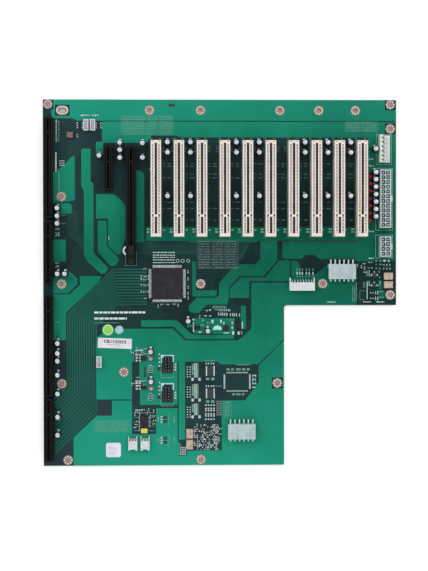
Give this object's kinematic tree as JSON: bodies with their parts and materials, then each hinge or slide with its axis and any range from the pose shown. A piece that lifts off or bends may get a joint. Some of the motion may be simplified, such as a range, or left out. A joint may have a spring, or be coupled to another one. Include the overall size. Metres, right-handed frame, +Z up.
{
  "type": "passive backplane",
  "caption": "L-shaped passive backplane board with a row of card slots, edge slots for a host card, power headers and screw holes.",
  "frame": {"origin": "centre of the board's bounding rectangle, on the plane that the slots' pegs stand on", "axes": "+X along the row of slots, away from the host slots; +Y along the slots towards the bracket edge; +Z up, out of the component side"},
  "size_m": [0.315, 0.326, 0.0181],
  "materials": {
    "laminate": "dark teal solder mask over bare laminate",
    "masked_copper": "green solder mask over copper",
    "ivory_slot": "moulded ivory thermoplastic",
    "black_slot": "moulded black thermoplastic",
    "black_lever": "moulded black thermoplastic",
    "power_nylon": "natural white nylon",
    "signal_nylon": "white nylon",
    "black_base": "moulded black thermoplastic",
    "tinned_pins": "tinned brass, satin",
    "capacitor_sleeve": "black shrink sleeve",
    "red_lens": "dark red tinted lens",
    "pink_lens": "pink tinted lens",
    "chip_epoxy": "dark moulded epoxy",
    "cream_block": "cream moulded body",
    "yellow_block": "yellow moulded epoxy",
    "inductor_block": "dark wound core",
    "white_label": "white paper",
    "green_label": "lime green paper"
  },
  "bodies": {
    "backplane": {"angled_power_header_1": "power_nylon", "angled_power_header_2": "power_nylon", "angled_power_pins_1": "tinned_pins", "angled_power_pins_2": "tinned_pins", "auxiliary_header": "power_nylon", "auxiliary_pins": "tinned_pins", "bridge_chip": "chip_epoxy", "capacitors": "capacitor_sleeve", "chip_inductor": "inductor_block", "circuit_board": "laminate", "code_label": "white_label", "copper_pours": "masked_copper", "coupling_blocks": "cream_block", "driver_chip": "chip_epoxy", "expansion_slot_1": "ivory_slot", "expansion_slot_10": "ivory_slot", "expansion_slot_2": "ivory_slot", "expansion_slot_3": "ivory_slot", "expansion_slot_4": "ivory_slot", "expansion_slot_5": "ivory_slot", "expansion_slot_6": "ivory_slot", "expansion_slot_7": "ivory_slot", "expansion_slot_8": "ivory_slot", "expansion_slot_9": "ivory_slot", "fan_1_header": "signal_nylon", "fan_1_pins": "tinned_pins", "fan_2_header": "signal_nylon", "fan_2_pins": "tinned_pins", "green_dot": "green_label", "host_slot_1": "black_slot", "host_slot_2": "black_slot", "host_slot_3": "black_slot", "host_slot_4": "black_slot", "jumper_block_1": "black_base", "jumper_block_2": "black_base", "jumper_pins": "tinned_pins", "long_lane_slot": "black_slot", "main_power_header": "power_nylon", "main_power_pins": "tinned_pins", "processor_power_header": "power_nylon", "processor_power_pins": "tinned_pins", "regulator_chips": "chip_epoxy", "sensor_header_1": "signal_nylon", "sensor_header_2": "signal_nylon", "sensor_header_3": "signal_nylon", "sensor_pins": "tinned_pins", "short_lane_slot": "black_slot", "signal_header": "signal_nylon", "signal_pins": "tinned_pins", "square_label": "white_label", "status_lamps": "pink_lens", "supply_lamps": "red_lens", "tantalum_capacitor": "yellow_block", "white_dot": "white_label"},
    "lever": {"retaining_lever": "black_lever"}
  },
  "joints": [
    {"name": "lever_hinge", "type": "hinge", "parent": "backplane", "child": "lever", "pos_m": [-0.07903, 0.0259, 0.00877], "axis": [1, 0, 0], "range_deg": [0, 25]}
  ]
}
